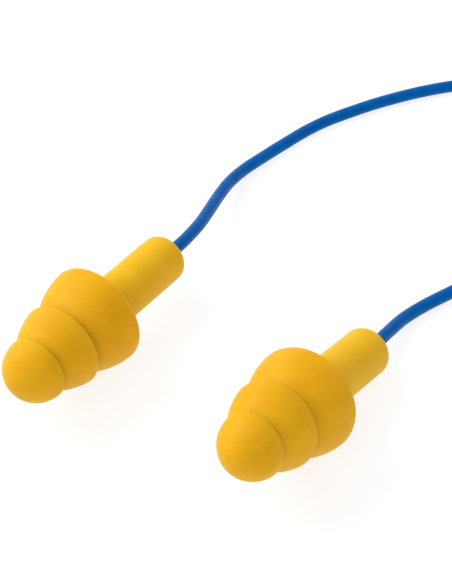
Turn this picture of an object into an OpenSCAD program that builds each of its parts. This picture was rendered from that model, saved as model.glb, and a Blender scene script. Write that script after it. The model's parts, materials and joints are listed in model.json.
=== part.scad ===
// Pair of reusable ear plugs joined by one long cord.
// Each plug is a single soft moulding: three flanges of growing size on a core, and a stem to hold it by.
// The plugs lie on a table, z = 0. The cord leaves both stems and its spare length is coiled beside them.
// +Z is up, and the origin is on the table under the middle of the two plugs.

/* [Flanges] */
// Radius of the nose flange
nose_r = 3.95; // [3.7:0.05:4.1]
// Distance from the nose tip to the nose flange's rim
nose_rim = 4.15; // [3.9:0.05:4.4]
// Radius of the middle flange
middle_r = 5.3; // [5:0.05:5.6]
// Distance from the nose tip to the middle flange's rim
middle_rim = 8.9; // [8.5:0.1:9.3]
// Radius of the rear flange, the widest part of the plug
rear_r = 6.35; // [6:0.05:6.7]
// Distance from the nose tip to the rear flange's rim
rear_rim = 15.5; // [15:0.1:16]
// Thickness of every flange at its lip
lip = 0.45; // [0.35:0.05:0.5]
// Thickness that a flange gains for each millimetre away from its lip
lip_growth = 0.12; // [0.05:0.01:0.2]

/* [Stem] */
// Distance from the nose tip to the end of the stem
plug_length = 30.1; // [29:0.1:32]
// Radius of the stem
stem_r = 3.05; // [3:0.05:3.3]
// Rounding of the stem's end
stem_round = 1.45; // [1.2:0.05:1.6]
// Radius of the core inside the flanges
core_r = 2.3; // [2:0.1:2.6]
// Radius of the blind hole for the cord
socket_r = 0.9; // [0.85:0.01:1]
// Depth of the blind hole for the cord
socket_depth = 9; // [7:0.5:11]

/* [Cord] */
// Diameter of the cord
cord_d = 1.6; // [1.5:0.05:1.7]
// Gap between the cord's end and the bottom of its hole, filled with adhesive
bond_floor = 0.5; // [0.3:0.1:1]

/* [Coil] */
// Radius of the coil's outermost turn, at the middle of the cord
coil_r = 12; // [11:0.1:12.5]
// Full turns in each of the coil's layers
coil_turns = 4; // [3:1:4]
// Thickness of the tie around the coil
tie_t = 0.4; // [0.3:0.1:0.6]
// Width of the tie
tie_w = 3.5; // [2.5:0.5:4.5]
// Length of the tie's twisted ends
tie_tail = 9; // [6:1:12]

/* [Placement] */
// Direction that the left plug's stem points in, from +X
left_heading = 56; // [50:1:62]
// Slope of the left plug's stem towards the table, held up a little by its cord
left_pitch = 4.7; // [2:0.1:10]
// Direction that the right plug's stem points in, from +X
right_heading = 55.5; // [50:0.5:62]

/* [Hidden] */

PLUG_COLOR = "#e8b42c";
CORD_COLOR = "#075fa8";
BOND_COLOR = "#e6e2d2";
TIE_COLOR = "#f2f2ee";
ROUND = 96;
CORD_SIDES = 8;

cord_r = cord_d / 2;
cord_grip = socket_depth - bond_floor;

// Flanges: where each dome would close on the axis, and how full its curve is (2 is an ellipse)
nose_apex = 0;
nose_power = 1.95;
middle_apex = 2.8;
middle_power = 1.55;
rear_apex = 7.4;
rear_power = 1.85;
dome_steps = 14;

// Undercut behind each flange, measured forwards from its rim
nose_undercut = 1.2;
middle_undercut = 2.5;
rear_undercut = 4.2;

// A plug at rest touches the table with its rear rim and the rounded end of its stem
tip_drop = rear_r - lip / 2 - stem_r + stem_round;
tip_reach = plug_length - stem_round - rear_rim;
rest_pitch = acos((stem_round - lip / 2) / norm([tip_drop, tip_reach])) - atan2(tip_reach, tip_drop);

// Middle of each stem's end on the table plan
left_tail = [-3.85, 18.7];
right_tail = [20.3, 4.9];

// Points that each cord follows after its stem, up to the coil
left_route = [
    [-2.2, 21.2, 4.8], [-0.3, 25.1, 4.1], [1, 28.9, 3.25], [2.2, 32.7, 2.4], [3.6, 36.3, 1.7],
    [5.6, 39.7, 1.1], [8.3, 42.8, 0.8], [11.1, 45.5, 0.8], [13.9, 48.1, 0.8], [16.9, 50.4, 0.8],
    [20.1, 52.3, 0.8], [23.3, 54, 0.8], [26.6, 55.5, 0.8], [30.2, 56.9, 0.8], [34.2, 58.1, 0.8],
    [38.2, 58.9, 0.8], [42.2, 59.2, 0.8], [46.2, 58.5, 0.8], [50.2, 56.9, 0.8], [53.8, 54.5, 0.8],
    [57, 51.3, 0.9], [59.4, 47.6, 1], [60.8, 43.9, 1.1], [61.2, 40.3, 1.2]
];
right_route = [
    [21.6, 6.8, 2.2], [22.8, 8.7, 1.7], [24.8, 11.5, 1.1], [27.6, 14.1, 0.8], [30.8, 16.3, 0.8],
    [34.2, 18.6, 0.8], [38.2, 21, 0.9], [42.2, 23.3, 1.3], [46.2, 25.5, 1.9], [50.2, 27.6, 2.6], [54.2, 29.6, 2.8]
];

// Coil: two layers of touching turns, lying on the band of the tie that passes under it
coil_centre = [49.2, 40.3];
coil_layers = 2;
coil_h = coil_layers * cord_d;
coil_inner = coil_r - coil_turns * cord_d - cord_d;
coil_outer = coil_r + cord_r;
tie_angle = -30;
tie_clearance = 0.02;
tie_tail_r = 0.75;
tie_tail_z = 1.6;

function unit(v) = v / norm(v);

// Radius of a dome at distance z from the nose tip
function dome_radius(z, apex, rim, radius, power) =
    radius * sqrt(1 - pow((rim - z) / (rim - apex), power));

// Outline of a dome, crowded towards its apex, as [radius, z]
function dome_outline(apex, rim, radius, power) = [
    for (i = [0:dome_steps])
        let (z = apex + (rim - apex) * (1 - cos(90 * i / dome_steps)))
        [dome_radius(z, apex, rim, radius, power), z]
];

// Outline of a flange's inner wall from the bottom of its undercut to its rim
function undercut_outline(apex, rim, radius, power, depth) = [
    for (i = [0:dome_steps])
        let (back = depth * (1 - i / dome_steps))
        [dome_radius(rim - back, apex, rim, radius, power) - lip - lip_growth * back, rim - back]
];

// Height of a plug's axis above the table at distance z from its nose tip
function axis_height(pitch, z) =
    (rear_r - lip / 2) * cos(pitch) + lip / 2 - (z - rear_rim) * sin(pitch);

function tail_point(tail, pitch) = [tail.x, tail.y, axis_height(pitch, plug_length)];

// Direction of travel along a route at point i
function route_direction(route, i) =
    unit(route[min(i + 1, len(route) - 1)] - route[max(i - 1, 0)]);

function ring(centre, direction) =
    let (
        side = unit(cross(direction, [0, 0, 1])),
        up = cross(side, direction)
    )
    [
        for (k = [0:CORD_SIDES - 1])
            let (angle = 360 * k / CORD_SIDES)
            centre + cord_r * (cos(angle) * side + sin(angle) * up)
    ];

module tube(route, start_direction) {
    rings = [
        for (i = [0:len(route) - 1])
            ring(route[i], i == 0 ? start_direction : route_direction(route, i))
    ];
    walls = [
        for (i = [0:len(route) - 2], k = [0:CORD_SIDES - 1])
            let (
                a = i * CORD_SIDES + k,
                b = i * CORD_SIDES + (k + 1) % CORD_SIDES
            )
            [a, a + CORD_SIDES, b + CORD_SIDES, b]
    ];
    first_cap = [for (k = [0:CORD_SIDES - 1]) k];
    last_cap = [for (k = [CORD_SIDES - 1:-1:0]) (len(route) - 1) * CORD_SIDES + k];
    polyhedron(
        points = [for (r = rings) each r],
        faces = concat(walls, [first_cap, last_cap]),
        convexity = 6
    );
}

module flange(apex, rim, radius, power, depth) {
    difference() {
        polygon(concat(dome_outline(apex, rim, radius, power), [[0, rim]]));
        polygon(concat(
            undercut_outline(apex, rim, radius, power, depth),
            [[core_r, rim], [core_r, rim - depth]]
        ));
    }
    translate([radius - lip / 2, rim])
        circle(d = lip, $fn = ROUND);
}

// Core inside the flanges, and the stem with its rounded end
module core_outline() {
    translate([0, nose_rim])
        square([core_r, rear_rim - nose_rim]);
    translate([0, rear_rim - rear_undercut])
        square([stem_r, plug_length - stem_round - rear_rim + rear_undercut]);
    translate([0, rear_rim])
        square([stem_r - stem_round, plug_length - rear_rim]);
    translate([stem_r - stem_round, plug_length - stem_round])
        circle(r = stem_round, $fn = ROUND);
}

// One plug along +Z, with its nose tip at the origin
module plug_body() {
    color(PLUG_COLOR)
        difference() {
            rotate_extrude($fn = ROUND) {
                flange(nose_apex, nose_rim, nose_r, nose_power, nose_undercut);
                flange(middle_apex, middle_rim, middle_r, middle_power, middle_undercut);
                flange(rear_apex, rear_rim, rear_r, rear_power, rear_undercut);
                core_outline();
            }
            translate([0, 0, plug_length - socket_depth])
                cylinder(h = socket_depth + cord_d, r = socket_r, $fn = ROUND);
        }
}

// Adhesive that fills the hole around and below the cord
module bond_body() {
    color(BOND_COLOR)
        translate([0, 0, plug_length - socket_depth])
            difference() {
                cylinder(h = socket_depth, r = socket_r, $fn = ROUND);
                translate([0, 0, bond_floor])
                    cylinder(h = socket_depth, r = cord_r, $fn = ROUND);
            }
}

// Stretch of cord that the stem grips
module cord_end_body() {
    color(CORD_COLOR)
        translate([0, 0, plug_length - cord_grip])
            cylinder(h = cord_grip, r = cord_r, $fn = ROUND);
}

// Lays what stands along +Z on the table, with the middle of its stem's end over tail
module lay(tail, angle, pitch) {
    translate(tail_point(tail, pitch))
        rotate([0, 90 + pitch, angle])
            translate([0, 0, -plug_length])
                children();
}

module left_place() {
    lay(left_tail, left_heading, left_pitch) children();
}

module right_place() {
    lay(right_tail, right_heading, rest_pitch) children();
}

// Cord from a stem's end to the coil
module cord_run(tail, angle, pitch, route) {
    leaving = [cos(pitch) * cos(angle), cos(pitch) * sin(angle), -sin(pitch)];
    color(CORD_COLOR)
        tube(concat([tail_point(tail, pitch)], route), leaving);
}

module left_plug() { left_place() plug_body(); }
module left_cord_bond() { left_place() bond_body(); }
module left_cord_end() { left_place() cord_end_body(); }
module left_cord_run() { cord_run(left_tail, left_heading, left_pitch, left_route); }

module right_plug() { right_place() plug_body(); }
module right_cord_bond() { right_place() bond_body(); }
module right_cord_end() { right_place() cord_end_body(); }
module right_cord_run() { cord_run(right_tail, right_heading, rest_pitch, right_route); }

// Outline of the coil's turns, its corners rounded as the cord is
module coil_section() {
    for (x = [coil_inner + cord_r, coil_outer - cord_r], y = [cord_r, coil_h - cord_r])
        translate([x, y])
            circle(r = cord_r, $fn = ROUND);
    translate([coil_inner + cord_r, 0])
        square([coil_outer - coil_inner - cord_d, coil_h]);
    translate([coil_inner, cord_r])
        square([coil_outer - coil_inner, coil_h - cord_d]);
}

// Space that the two layers of turns fill
module cord_coil() {
    color(CORD_COLOR)
        translate([coil_centre.x, coil_centre.y, tie_t])
            rotate_extrude($fn = ROUND)
                coil_section();
}

// Section of the tie's loop around all the turns
module tie_loop() {
    gap = tie_clearance;
    difference() {
        translate([coil_inner - gap - tie_t, -tie_t])
            square([coil_outer - coil_inner + 2 * (gap + tie_t), coil_h + gap + 2 * tie_t]);
        translate([coil_inner - gap, 0])
            square([coil_outer - coil_inner + 2 * gap, coil_h + gap]);
    }
}

// Band around the coil and the two ends that are twisted together beyond it
module coil_tie() {
    color(TIE_COLOR)
        translate([coil_centre.x, coil_centre.y, tie_t])
            rotate([0, 0, tie_angle]) {
                intersection() {
                    rotate_extrude($fn = ROUND)
                        tie_loop();
                    translate([0, -tie_w / 2, -coil_h])
                        cube([2 * coil_outer, tie_w, 3 * coil_h]);
                }
                translate([coil_outer + tie_clearance, 0, tie_tail_z])
                    rotate([0, 90, 0])
                        cylinder(h = tie_tail + tie_t, r = tie_tail_r, $fn = ROUND);
            }
}

left_plug();
left_cord_bond();
left_cord_end();
left_cord_run();
right_plug();
right_cord_bond();
right_cord_end();
right_cord_run();
cord_coil();
coil_tie();
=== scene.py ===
"""Corded ear plugs on a pale table.

Two soft yellow mouldings, each with three flanges and a stem, sit on one blue cord. Its spare length
is wound into a coil and tied.
"""

import json
import math

import bpy
import numpy as np
from mathutils import Matrix, Vector


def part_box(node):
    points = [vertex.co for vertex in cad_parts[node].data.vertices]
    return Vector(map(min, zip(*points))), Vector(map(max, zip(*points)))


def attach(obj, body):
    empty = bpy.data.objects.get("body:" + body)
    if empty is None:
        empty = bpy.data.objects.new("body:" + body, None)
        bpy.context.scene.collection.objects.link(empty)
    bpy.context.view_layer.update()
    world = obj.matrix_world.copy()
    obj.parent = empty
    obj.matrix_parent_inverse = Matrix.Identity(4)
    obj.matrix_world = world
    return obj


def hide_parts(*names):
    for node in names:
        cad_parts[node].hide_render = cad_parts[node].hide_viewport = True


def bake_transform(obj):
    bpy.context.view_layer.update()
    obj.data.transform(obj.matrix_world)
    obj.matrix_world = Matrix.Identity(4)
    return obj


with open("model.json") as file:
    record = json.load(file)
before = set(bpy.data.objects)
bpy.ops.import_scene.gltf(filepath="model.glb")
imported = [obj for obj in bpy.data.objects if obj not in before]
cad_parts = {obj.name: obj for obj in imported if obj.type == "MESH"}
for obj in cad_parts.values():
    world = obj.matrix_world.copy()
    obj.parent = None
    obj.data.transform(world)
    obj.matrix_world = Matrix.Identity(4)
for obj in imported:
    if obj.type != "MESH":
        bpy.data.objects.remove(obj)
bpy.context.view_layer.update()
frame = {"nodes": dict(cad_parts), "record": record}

MM = 0.001

# Camera: looking down at the plugs from in front, through a long lens
CAMERA_PLACE = (0.0032, -0.1505, 0.15925)
CAMERA_DOWN = 43.5
CAMERA_LENS = 148.5
SENSOR_WIDTH = 36.0

# Studio
TABLE_REACH = 1.5
WORLD_STRENGTH = 0.68
LIGHTS_AIM = (0, 0.01, 0.005)

# Plug, in millimetres from its nose tip
PLUG_LENGTH = 30.1
PLUG_SIDES = 144
LIP = 0.45
LIP_GROWTH = 0.12
LIP_ROLL = 0.34
ROLL_START = 0.3
BEND = 0.5
CORE_R = 2.3
STEM_R = 3.05
STEM_ROUND = 1.45
SOCKET_R = 0.9
SOCKET_DEPTH = 9.0
MOUTH_BEVEL = 0.1
HEAD_END = 16
FLUTTER = 0.035

# Where the rubber turns from thin skirts into the solid stem, and over what distance
SOLID_FROM = 12
SOLID_OVER = 9

# The head of a plug that lies on a table leans off its stem's axis: (distance from the nose tip, shift)
LEAN_WAY = Vector((-0.67, 0.51, 0.54))
LEANS = {
    "left": [(0, -0.14), (4, -0.14), (6, 0), (9.2, 0), (11.5, 0.11), (15.5, 0.13), (21, 0)],
    "right": [
        (0, -0.20), (3.5, -0.14), (4.6, -0.05), (5.5, 0.10),
        (10.5, 0.08), (12, 0.11), (15.5, 0.10), (21, 0),
    ],
}
# Its flanges are splayed or pulled in a little by how they lie: (distance from the nose tip, change of
# radius). A flange gives way over SPLAY_WIDTH, outwards from the core.
SPLAY_WIDTH = 1.2
SPLAYS = {
    "left": [
        (0, 0.05), (1.5, 0.05), (3, 0), (5.5, 0),
        (7, -0.07), (9.2, -0.08), (10.5, -0.02), (16, -0.02),
    ],
    "right": [(0, 0.03), (4.5, 0.04), (5.5, 0.06), (8.5, 0.10), (10.5, 0.14), (13.5, 0.13), (16, 0.11)],
}

# Each flange: apex of its dome, rim, radius, fullness of its curve (2 is an ellipse), depth of its undercut
NOSE = dict(apex=0.0, rim=4.15, radius=3.95, power=1.95, depth=1.2)
MIDDLE = dict(apex=2.8, rim=8.9, radius=5.3, power=1.55, depth=2.5)
REAR = dict(apex=7.4, rim=15.5, radius=6.35, power=1.85, depth=4.2)

# Cord
CORD_D = 1.6 * MM
CORD_R = CORD_D / 2
CORD_GRIP = 8.5 * MM
CORD_SIDES = 20
CORD_STEP = 0.7 * MM

# Points that each cord follows after its stem, up to the coil, in millimetres
LEFT_ROUTE = [
    (-2.2, 21.2, 4.8), (-0.3, 25.1, 4.1), (1, 28.9, 3.25), (2.2, 32.7, 2.4), (3.6, 36.3, 1.7),
    (5.6, 39.7, 1.1), (8.3, 42.8, 0.8), (11.1, 45.5, 0.8), (13.9, 48.1, 0.8), (16.9, 50.4, 0.8),
    (20.1, 52.3, 0.8), (23.3, 54, 0.8), (26.6, 55.5, 0.8), (30.2, 56.9, 0.8), (34.2, 58.1, 0.8),
    (38.2, 58.9, 0.8), (42.2, 59.2, 0.8), (46.2, 58.5, 0.8), (50.2, 56.9, 0.8), (53.8, 54.5, 0.8),
    (57, 51.3, 0.9), (59.4, 47.6, 1), (60.8, 43.9, 1.1), (61.2, 40.3, 1.2),
]
RIGHT_ROUTE = [
    (21.6, 6.8, 2.2), (22.8, 8.7, 1.7), (24.8, 11.5, 1.1), (27.6, 14.1, 0.8), (30.8, 16.3, 0.8),
    (34.2, 18.6, 0.8), (38.2, 21, 0.9), (42.2, 23.3, 1.3), (46.2, 25.5, 1.9), (50.2, 27.6, 2.6),
    (54.2, 29.6, 2.8),
]

# Coil: clockwise angles, in degrees, from +X. The left cord winds in along the lower layer, the right cord
# leaves from the upper one, and they meet half way up the climb between the layers.
LAYER_TURNS = 4
CLIMB = 60
SEAM = LAYER_TURNS * 360 + CLIMB / 2
LEAVING = 2 * LAYER_TURNS * 360 + 65
TURN_STEP = 6

# Twist tie: the ribbon, and its two ends wound round each other
TIE_ANGLE = 30
TIE_WIDTH = 3.5 * MM
TIE_CORNER = 0.7 * MM
TIE_GAP = 0.02 * MM
TIE_RELIEF = 0.005 * MM
TAIL_LENGTH = 9.0 * MM
TAIL_STEPS = 60
TAIL_TURNS = 2.6
TAIL_HEIGHT = 2.0 * MM
TAIL_DROOP = 0.4 * MM
TAIL_SPREAD = 0.16 * MM
TAIL_PARTING = 1.6 * MM
PARTS_FROM = 0.8
STRIP_HALF = (0.55 * MM, 0.14 * MM)

mounts = {m["name"]: m for m in frame["record"]["mounts"]}


# ---------------------------------------------------------------- camera

def make_camera():
    """The photograph's viewing angle: from in front, looking down at 43.5 degrees through a long lens."""
    data = bpy.data.cameras.new("camera")
    data.sensor_fit = "HORIZONTAL"
    data.sensor_width = SENSOR_WIDTH
    data.lens = CAMERA_LENS
    data.clip_start = 0.01
    camera = bpy.data.objects.new("camera", data)
    camera.location = CAMERA_PLACE
    camera.rotation_euler = (math.radians(90 - CAMERA_DOWN), 0, 0)
    bpy.context.collection.objects.link(camera)
    bpy.context.scene.camera = camera
    bpy.context.scene.view_settings.view_transform = "Standard"


# ---------------------------------------------------------------- mesh helpers

def make_piece(name, points, faces, material):
    mesh = bpy.data.meshes.new(name)
    mesh.from_pydata([tuple(p) for p in points], [], faces)
    mesh.update()
    mesh.materials.append(material)
    mesh.shade_smooth()
    piece = bpy.data.objects.new(name, mesh)
    bpy.context.collection.objects.link(piece)
    return piece


def catmull_rom(points, step):
    """Points on one smooth curve through the given ones, about a step apart."""
    knots = np.array(points, float)
    knots = np.vstack([2 * knots[0] - knots[1], knots, 2 * knots[-1] - knots[-2]])
    out = []
    for a, b, c, d in zip(knots, knots[1:], knots[2:], knots[3:]):
        count = max(2, round(np.linalg.norm(c - b) / step))
        for t in np.arange(count) / count:
            out.append(0.5 * (2 * b + (c - a) * t + (2 * a - 5 * b + 4 * c - d) * t**2
                              + (3 * b - 3 * c + d - a) * t**3))
    out.append(knots[-2])
    return np.array(out)


def make_tube(name, path, radius, material):
    """A round tube along a path, its ends closed flat."""
    tangents = np.gradient(path, axis=0)
    tangents /= np.linalg.norm(tangents, axis=1)[:, None]
    side = np.cross(tangents[0], (0, 0, 1))
    side /= np.linalg.norm(side)
    angles = np.arange(CORD_SIDES) / CORD_SIDES * 2 * math.pi
    points = []
    for centre, tangent in zip(path, tangents):
        side = side - tangent * (side @ tangent)
        side /= np.linalg.norm(side)
        up = np.cross(side, tangent)
        points.extend(centre + radius * (math.cos(a) * side + math.sin(a) * up) for a in angles)
    faces = []
    n = CORD_SIDES
    for i in range(len(path) - 1):
        for k in range(n):
            a, b = i * n + k, i * n + (k + 1) % n
            faces.append((a, a + n, b + n, b))
    first, last = len(points), len(points) + 1
    points.append(path[0])
    points.append(path[-1])
    base = (len(path) - 1) * n
    for k in range(n):
        faces.append((first, k, (k + 1) % n))
        faces.append((last, base + (k + 1) % n, base + k))
    return make_piece(name, points, faces, material)


# ---------------------------------------------------------------- materials

class Paint:
    """A node material built around one Principled shader, with textures in the piece's own coordinates."""

    def __init__(self, name, **constants):
        self.material = bpy.data.materials.new(name)
        self.material.use_nodes = True
        self.nodes = self.material.node_tree.nodes
        self.links = self.material.node_tree.links
        self.shader = self.nodes["Principled BSDF"]
        for socket, value in constants.items():
            self.shader.inputs[socket.replace("_", " ")].default_value = value
        self.place = self.nodes.new("ShaderNodeTexCoord").outputs["Object"]

    def noise(self, scale, detail=3.0, rough=0.5):
        node = self.nodes.new("ShaderNodeTexNoise")
        node.inputs["Scale"].default_value = scale
        node.inputs["Detail"].default_value = detail
        node.inputs["Roughness"].default_value = rough
        self.links.new(self.place, node.inputs["Vector"])
        return node.outputs["Fac"]

    def ramp(self, value, stops):
        node = self.nodes.new("ShaderNodeValToRGB")
        elements = node.color_ramp.elements
        while len(elements) < len(stops):
            elements.new(0.5)
        for element, (position, color) in zip(elements, stops):
            element.position = position
            element.color = (*color, 1)
        self.links.new(value, node.inputs["Fac"])
        return node.outputs["Color"]

    def attribute(self, name):
        node = self.nodes.new("ShaderNodeAttribute")
        node.attribute_name = name
        return node.outputs["Fac"]

    def mix(self, share, first, second):
        node = self.nodes.new("ShaderNodeMix")
        node.data_type = "RGBA"
        self.links.new(share, node.inputs[0])
        self.links.new(first, node.inputs[6])
        self.links.new(second, node.inputs[7])
        return node.outputs[2]

    def span(self, value, low, high):
        node = self.nodes.new("ShaderNodeMapRange")
        node.inputs["From Min"].default_value = 0.3
        node.inputs["From Max"].default_value = 0.7
        node.inputs["To Min"].default_value = low
        node.inputs["To Max"].default_value = high
        self.links.new(value, node.inputs["Value"])
        return node.outputs["Result"]

    def bump(self, value, distance, strength=1.0, under=None):
        node = self.nodes.new("ShaderNodeBump")
        node.inputs["Distance"].default_value = distance
        node.inputs["Strength"].default_value = strength
        self.links.new(value, node.inputs["Height"])
        if under is not None:
            self.links.new(under, node.inputs["Normal"])
        return node.outputs["Normal"]

    def feed(self, socket, value):
        self.links.new(value, self.shader.inputs[socket])


def rubber_material():
    """Soft yellow moulded elastomer: satin, a little translucent, with the faint grain of its mould."""
    paint = Paint("plug_rubber", IOR=1.45, Specular_IOR_Level=0.27, Specular_Tint=(0.55, 0.95, 0.6, 1))
    patches = paint.noise(260, 4)
    skirts = paint.ramp(patches, [
        (0.30, (0.67, 0.342, 0.001)),
        (0.55, (0.70, 0.364, 0.002)),
        (0.75, (0.73, 0.386, 0.003)),
    ])
    stem = paint.ramp(patches, [
        (0.30, (0.72, 0.400, 0.005)),
        (0.55, (0.75, 0.424, 0.007)),
        (0.75, (0.78, 0.448, 0.009)),
    ])
    paint.feed("Base Color", paint.mix(paint.attribute("solid"), skirts, stem))
    paint.feed("Roughness", paint.span(paint.noise(900, 4), 0.50, 0.62))
    grain = paint.bump(paint.noise(5200, 2), 0.000012, 0.6)
    paint.feed("Normal", paint.bump(paint.noise(420, 3), 0.00003, 0.5, grain))
    paint.shader.inputs["Subsurface Weight"].default_value = 0.6
    paint.shader.inputs["Subsurface Radius"].default_value = (1.0, 0.75, 0.2)
    paint.shader.inputs["Subsurface Scale"].default_value = 0.0015
    return paint.material


def vinyl_material():
    """Blue extruded vinyl cord: satin, with fine unevenness from the die."""
    paint = Paint("cord_vinyl", IOR=1.5, Specular_IOR_Level=0.22, Specular_Tint=(0.02, 0.5, 1.0, 1))
    paint.feed("Base Color", paint.ramp(paint.noise(700, 4), [
        (0.30, (0.000, 0.080, 0.32)),
        (0.55, (0.000, 0.095, 0.36)),
        (0.75, (0.001, 0.114, 0.41)),
    ]))
    paint.feed("Roughness", paint.span(paint.noise(1500, 3), 0.34, 0.48))
    grain = paint.bump(paint.noise(7000, 2), 0.000010, 0.5)
    paint.feed("Normal", paint.bump(paint.noise(900, 2), 0.00003, 0.5, grain))
    return paint.material


def bond_material():
    """Cured adhesive, a dull clear amber."""
    paint = Paint("bond_adhesive", IOR=1.5)
    paint.feed("Base Color", paint.ramp(paint.noise(1800, 3), [
        (0.35, (0.50, 0.33, 0.06)),
        (0.70, (0.62, 0.45, 0.14)),
    ]))
    paint.feed("Roughness", paint.span(paint.noise(2500, 3), 0.22, 0.38))
    return paint.material


def tie_material():
    """White plastic ribbon of the twist tie, scuffed a little."""
    paint = Paint("tie_plastic", IOR=1.48)
    paint.feed("Base Color", paint.ramp(paint.noise(1100, 5, 0.6), [
        (0.35, (0.52, 0.52, 0.50)),
        (0.65, (0.64, 0.64, 0.62)),
    ]))
    paint.feed("Roughness", paint.span(paint.noise(1600, 4), 0.38, 0.55))
    paint.feed("Normal", paint.bump(paint.noise(3800, 3), 0.00002, 0.6))
    return paint.material


RUBBER = rubber_material()
VINYL = vinyl_material()
ADHESIVE = bond_material()
RIBBON = tie_material()


# ---------------------------------------------------------------- cords

def plug_place(side):
    """Matrix from a plug's own frame, in metres with +Z from its nose tip to its tail, to the row frame."""
    mount = mounts[side + "_ear_tip"]
    along = -Vector(mount["axis"]).normalized()
    across = along.cross(Vector((0, 0, 1))).normalized()
    turn = Matrix((across, along.cross(across), along)).transposed().to_4x4()
    return Matrix.Translation(Vector(mount["pos_m"])) @ turn


def coil_point(angle):
    """Point on the stored cord at an angle along its turns: lower layer inwards, upper layer outwards."""
    low, high = (Vector(p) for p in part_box("cord_coil"))
    centre = (low + high) / 2
    outer = (high.x - low.x) / 2 - CORD_R
    lower_end = LAYER_TURNS * 360
    upper_start = lower_end + CLIMB
    t = min(max((angle - lower_end) / CLIMB, 0), 1)
    if angle <= upper_start:
        radius = outer - CORD_D * angle / 360
    else:
        radius = outer - CORD_D * upper_start / 360 + CORD_D * (angle - upper_start) / 360
    z = low.z + CORD_R + (high.z - low.z - CORD_D) * t * t * (3 - 2 * t)
    a = math.radians(angle)
    return (centre.x + radius * math.cos(a), centre.y - radius * math.sin(a), z)


def make_cord(side, route, coil_angles, material):
    """One half of the cord, from inside its stem to the seam under the tie."""
    place = plug_place(side)
    tail = place @ Vector((0, 0, PLUG_LENGTH * MM))
    root = place @ Vector((0, 0, PLUG_LENGTH * MM - CORD_GRIP))
    knots = [root, (root + tail) / 2, tail] + [Vector(p) * MM for p in route[:-1]]
    free = catmull_rom(knots + [Vector(coil_point(coil_angles[0]))], CORD_STEP)
    path = np.vstack([free[:-1], [coil_point(a) for a in coil_angles]])
    cord = make_tube("cord_" + side, path, CORD_R, material)
    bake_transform(cord)
    return cord, path, tail


def make_cords():
    left_angles = np.arange(0, SEAM + 0.1, TURN_STEP)
    right_angles = np.arange(LEAVING, SEAM - 0.1, -TURN_STEP)
    right_angles = np.append(right_angles, SEAM)
    tie = make_tie()
    for side, route, angles, goes_with in (
        ("left", LEFT_ROUTE, left_angles, [tie]),
        ("right", RIGHT_ROUTE, right_angles, []),
    ):
        cord, path, tail = make_cord(side, route, angles, VINYL)
        nodes = [side + "_cord_run", side + "_cord_end"] + (["cord_coil"] if goes_with else [])
        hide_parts(*nodes)


# ---------------------------------------------------------------- tie

def tie_loop(gap, inner, outer, low, high):
    """Rounded rectangle at a gap around the coil's section: points as (distance from centre, height)."""
    x0, x1 = inner - gap, outer + gap
    z0, z1 = low - gap, high + gap
    radius = TIE_CORNER + gap
    out = []
    for cx, cz, start in ((x1 - radius, z1 - radius, 0), (x0 + radius, z1 - radius, 90),
                          (x0 + radius, z0 + radius, 180), (x1 - radius, z0 + radius, 270)):
        for step in range(7):
            a = math.radians(start + step * 15)
            out.append((cx + radius * math.cos(a), cz + radius * math.sin(a)))
    return out


def tie_band(inside, outside, turn):
    """Ribbon between two loops: flat faces, rolled edges, and a ridge over the wire in the middle."""
    section = [(-1, 0.15), (-0.95, 0.0), (0.95, 0.0), (1, 0.15), (1, 0.6), (0.9, 0.72), (0.25, 0.78),
               (0.12, 1.0), (-0.12, 1.0), (-0.25, 0.78), (-0.9, 0.72), (-1, 0.6)]
    points, faces = [], []
    for (xi, zi), (xo, zo) in zip(inside, outside):
        for across, up in section:
            points.append(turn @ Vector((xi + (xo - xi) * up, across * TIE_WIDTH / 2, zi + (zo - zi) * up)))
    n, m = len(inside), len(section)
    for i in range(n):
        for k in range(m):
            a, b = i * m + k, i * m + (k + 1) % m
            c, d = ((i + 1) % n) * m + (k + 1) % m, ((i + 1) % n) * m + k
            faces.append((a, b, c, d))
    return points, faces


def tie_end(side, start, first, turn):
    """One end of the ribbon: a narrow strip that winds round the other end, then parts from it."""
    points, faces = [], []
    half_wide, half_thick = STRIP_HALF
    for i in range(TAIL_STEPS + 1):
        t = i / TAIL_STEPS
        spread = TAIL_SPREAD + max(0, t - PARTS_FROM) * TAIL_PARTING
        a = t * TAIL_TURNS * 2 * math.pi
        along = start + TAIL_LENGTH * t
        centre_y = side * spread * math.cos(a)
        centre_z = TAIL_HEIGHT + side * spread * math.sin(a) - TAIL_DROOP * t
        for u, v in ((-1, -1), (1, -1), (1, 1), (-1, 1)):
            du, dv = half_wide * u, half_thick * v
            y = centre_y + du * -math.sin(a) + dv * math.cos(a)
            z = centre_z + du * math.cos(a) + dv * math.sin(a)
            points.append(turn @ Vector((along, y, z)))
    for i in range(TAIL_STEPS):
        for k in range(4):
            a, b = first + i * 4 + k, first + i * 4 + (k + 1) % 4
            faces.append((a, b, b + 4, a + 4))
    end = first + TAIL_STEPS * 4
    faces.append((first + 3, first + 2, first + 1, first))
    faces.append((end, end + 1, end + 2, end + 3))
    return points, faces


def make_tie():
    """Twist tie: a ribbon round the coil's section, its two ends twisted together beyond the coil."""
    low, high = (Vector(p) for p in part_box("cord_coil"))
    centre = (low + high) / 2
    outer = (high.x - low.x) / 2
    inner = outer - CORD_D * (LAYER_TURNS + 1) - CORD_R
    thick = low.z
    turn = Matrix.Translation((centre.x, centre.y, 0)) @ Matrix.Rotation(math.radians(-TIE_ANGLE), 4, "Z")
    inside, outside = (tie_loop(gap, inner, outer, low.z, high.z) for gap in (TIE_GAP, thick - TIE_RELIEF))
    points, faces = tie_band(inside, outside, turn)
    for side in (1, -1):
        end_points, end_faces = tie_end(side, outer + thick * 0.5, len(points), turn)
        points += end_points
        faces += end_faces
    tie = make_piece("twist_tie", points, faces, RIBBON)
    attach(tie, "cord")
    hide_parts("coil_tie")
    return tie


# ---------------------------------------------------------------- plugs

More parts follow.
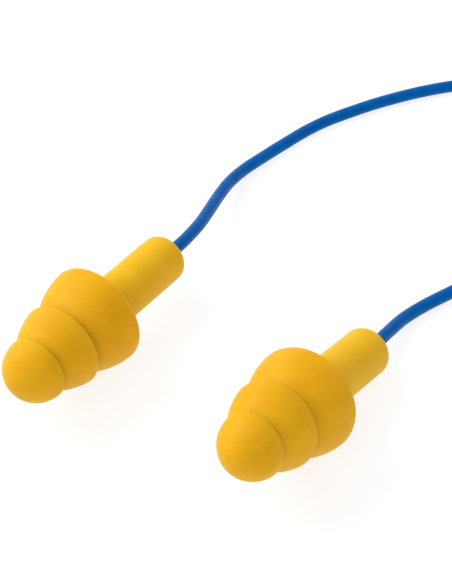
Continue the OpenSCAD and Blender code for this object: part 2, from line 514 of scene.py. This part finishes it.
def dome(flange, z):
    """Radius of a flange's outer surface at distance z from the nose tip."""
    share = (flange["rim"] - z) / (flange["rim"] - flange["apex"])
    return flange["radius"] * math.sqrt(max(0, 1 - share ** flange["power"]))


def dome_reaches(flange, radius):
    """Distance from the nose tip at which a flange's outer surface has this radius."""
    share = (1 - (radius / flange["radius"]) ** 2) ** (1 / flange["power"])
    return flange["rim"] - share * (flange["rim"] - flange["apex"])


def fillet(before, corner, after, size):
    """Points of a smooth bend that replaces a corner between two straight runs."""
    before, corner, after = Vector(before), Vector(corner), Vector(after)
    enter = corner + (before - corner).normalized() * min(size, (before - corner).length / 2)
    leave = corner + (after - corner).normalized() * min(size, (after - corner).length / 2)
    return [tuple(enter * (1 - t) ** 2 + corner * 2 * t * (1 - t) + leave * t**2)
            for t in np.linspace(0, 1, 7)]


def outer_run(flange, start, count=44):
    """Outer surface from distance start to the rim, crowded where it curves most."""
    first = math.acos(max(-1, 1 - (start - flange["apex"]) / (flange["rim"] - flange["apex"])))
    zs = [flange["apex"] + (flange["rim"] - flange["apex"]) * (1 - math.cos(a))
          for a in np.linspace(first, math.pi / 2, count)]
    return [(dome(flange, z), z) for z in zs if z < flange["rim"] - ROLL_START]


def lip_run(flange):
    """Soft lip: rolled over from the outer surface, with a tighter edge where it meets the inner wall."""
    edge, top = LIP - LIP_ROLL, flange["rim"] + LIP / 2
    start = flange["rim"] - ROLL_START
    centre = flange["radius"] - LIP_ROLL
    outer = [(centre + LIP_ROLL * math.cos(a), start + (top - start) * math.sin(a))
             for a in np.linspace(0, math.pi / 2, 13)[1:]]
    inner = [(centre - edge * math.sin(a), top - LIP / 2 * (1 - math.cos(a)))
             for a in np.linspace(0, math.pi / 2, 7)[1:-1]]
    return outer + inner


def undercut_run(flange, core):
    """Inner wall of a flange from its lip to the bottom of its undercut, and round into the core."""
    def wall(back):
        z = flange["rim"] - back
        return (dome(flange, z) - LIP - LIP_GROWTH * back, z)

    out = [wall(back) for back in np.linspace(0, flange["depth"] - BEND, 16)]
    bottom = wall(flange["depth"])
    out += fillet(out[-1], bottom, (core, bottom[1]), BEND)
    return out


def stem_run(floor):
    """Stem from the bottom of the rear undercut to its rounded end, and the hole for the cord."""
    shoulder = PLUG_LENGTH - STEM_ROUND
    bevel = MOUTH_BEVEL * 0.3
    out = [(STEM_R, z) for z in np.linspace(floor + 2 * BEND, shoulder, 16)]
    out += [(STEM_R - STEM_ROUND * (1 - math.cos(a)), shoulder + STEM_ROUND * math.sin(a))
            for a in np.linspace(0, math.pi / 2, 17)[1:]]
    out += [
        (SOCKET_R + MOUTH_BEVEL, PLUG_LENGTH),
        (SOCKET_R + bevel, PLUG_LENGTH - bevel),
        (SOCKET_R, PLUG_LENGTH - MOUTH_BEVEL),
        (SOCKET_R, PLUG_LENGTH - SOCKET_DEPTH),
        (0, PLUG_LENGTH - SOCKET_DEPTH),
    ]
    return out


def plug_profile():
    """Outline of half a plug, nose to floor of its hole, as (radius, distance from the nose tip)."""
    points = outer_run(NOSE, 0.0) + lip_run(NOSE)
    for flange, after in ((NOSE, MIDDLE), (MIDDLE, REAR)):
        points += undercut_run(flange, CORE_R)
        floor = flange["rim"] - flange["depth"]
        surfaces = dome_reaches(after, CORE_R)
        rejoins = surfaces + BEND
        if surfaces > floor + 0.2:
            points += fillet((points[-1][0], floor), (CORE_R, floor), (CORE_R, surfaces), BEND)
        points += fillet((CORE_R, floor), (CORE_R, surfaces), (dome(after, rejoins), rejoins), BEND)
        points += outer_run(after, rejoins)[1:] + lip_run(after)
    floor = REAR["rim"] - REAR["depth"]
    points += undercut_run(REAR, STEM_R)
    points += fillet((points[-1][0], floor), (STEM_R, floor), (STEM_R, PLUG_LENGTH), BEND)
    points += stem_run(floor)
    return points


def flutter(radius, z, angle, phase):
    """Small waviness of the free flanges, in millimetres, growing towards each lip."""
    amount = 0
    for flange in (MIDDLE, REAR):
        if flange["rim"] - flange["depth"] < z <= flange["rim"] + LIP and radius > flange["radius"] * 0.75:
            near = (z - flange["rim"] + flange["depth"]) / flange["depth"]
            amount = FLUTTER * near**2
    return amount * (math.sin(2 * angle + phase) + 0.5 * math.sin(3 * angle + 2 * phase))


def make_plug(side, phase):
    """One moulding: nose dome, two skirts with undercuts, stem and the hole that the cord goes into."""
    steps = PLUG_SIDES
    place = plug_place(side)
    rings, points, faces, solidity = [], [], [], []
    lean_z, lean_shift = zip(*LEANS[side])
    splay_z, splay_change = zip(*SPLAYS[side])
    for radius, z in plug_profile():
        lean = LEAN_WAY * MM * float(np.interp(z, lean_z, lean_shift))
        gives = min(max((radius - CORE_R) / SPLAY_WIDTH, 0), 1) if z < HEAD_END else 0
        splay = float(np.interp(z, splay_z, splay_change)) * gives
        share = float(np.clip((z - SOLID_FROM) / SOLID_OVER, 0, 1)) if radius <= STEM_R + 0.01 else 0.0
        if radius < 1e-6:
            solidity.append(share)
            rings.append([len(points)])
            points.append(place @ Vector((0, 0, z * MM)) + lean)
            continue
        solidity.extend([share] * steps)
        rings.append(list(range(len(points), len(points) + steps)))
        for k in range(steps):
            a = 2 * math.pi * k / steps
            r = radius + splay + flutter(radius, z, a, phase)
            point = place @ Vector((r * MM * math.cos(a), r * MM * math.sin(a), z * MM)) + lean
            point.z = max(point.z, 0)
            points.append(point)
    for below, above in zip(rings, rings[1:]):
        for k in range(steps):
            j = (k + 1) % steps
            if len(below) == 1:
                faces.append((below[0], above[j], above[k]))
            elif len(above) == 1:
                faces.append((below[k], below[j], above[0]))
            else:
                faces.append((below[k], below[j], above[j], above[k]))
    plug = make_piece(side + "_plug_moulding", points, faces, RUBBER)
    # How solid the rubber is under each point: 0 on the thin skirts, 1 on the stem
    solid = plug.data.attributes.new("solid", "FLOAT", "POINT")
    solid.data.foreach_set("value", solidity)
    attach(plug, side + "_plug")
    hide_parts(side + "_plug")
    return plug


# ---------------------------------------------------------------- set

def make_floor():
    """Pale table that lifts its own shadows a little, as a light table does."""
    paint = Paint("table_white", Roughness=0.9, Specular_IOR_Level=0.1)
    paint.shader.inputs["Base Color"].default_value = (0.27, 0.27, 0.27, 1)
    paint.shader.inputs["Emission Color"].default_value = (1, 1, 1, 1)
    paint.shader.inputs["Emission Strength"].default_value = 0.78
    corners = [(TABLE_REACH * x, TABLE_REACH * y, 0) for x, y in ((-1, -1), (1, -1), (1, 1), (-1, 1))]
    make_piece("table", corners, [(0, 1, 2, 3)], paint.material)


def make_light(name, place, size, power):
    data = bpy.data.lights.new(name, "AREA")
    data.shape = "DISK"
    data.size = size
    data.energy = power
    light = bpy.data.objects.new(name, data)
    light.location = place
    light.rotation_euler = (Vector(LIGHTS_AIM) - Vector(place)).to_track_quat("-Z", "Y").to_euler()
    bpy.context.collection.objects.link(light)


def make_set():
    make_floor()
    world = bpy.data.worlds.new("studio")
    world.use_nodes = True
    background = world.node_tree.nodes["Background"]
    background.inputs["Color"].default_value = (1, 1, 1, 1)
    background.inputs["Strength"].default_value = WORLD_STRENGTH
    bpy.context.scene.world = world
    make_light("key", place=(-0.34, 0.14, 0.34), size=0.34, power=1.95)
    make_light("fill", place=(-0.05, -0.40, 0.45), size=0.45, power=0.5)


make_camera()
make_cords()
make_plug("left", 0.6)
make_plug("right", 2.1)
for node in ("left_cord_bond", "right_cord_bond"):
    for material_slot in frame["nodes"][node].material_slots:
        material_slot.material = ADHESIVE
make_set()
